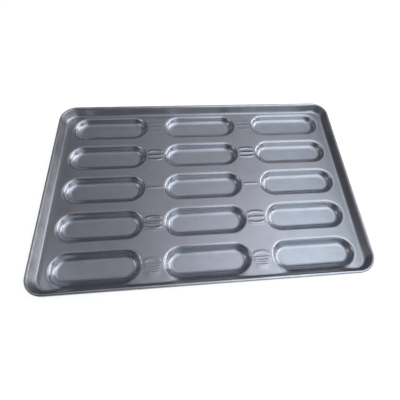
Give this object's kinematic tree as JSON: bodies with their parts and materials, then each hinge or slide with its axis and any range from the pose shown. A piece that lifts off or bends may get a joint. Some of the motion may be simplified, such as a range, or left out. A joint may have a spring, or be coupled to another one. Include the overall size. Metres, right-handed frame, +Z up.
{
  "type": "hot dog bun pan",
  "caption": "Shallow pressed steel baking tray with rows of oval bun moulds, stiffening beads between the mould ends and a rim rolled over a wire.",
  "frame": {"origin": "centre of the pan's box at its lowest level, the undersides of the mould floors", "axes": "+X along the pan's long side and the moulds, +Y from the front row to the back row, +Z up out of the moulds"},
  "size_m": [0.6572, 0.454, 0.0337],
  "materials": {
    "pan_steel": "satin aluminised sheet",
    "rim_wire_steel": "dull galvanised wire"
  },
  "bodies": {
    "root": {"pan_sheet": "pan_steel", "rim_wire": "rim_wire_steel"}
  },
  "joints": []
}
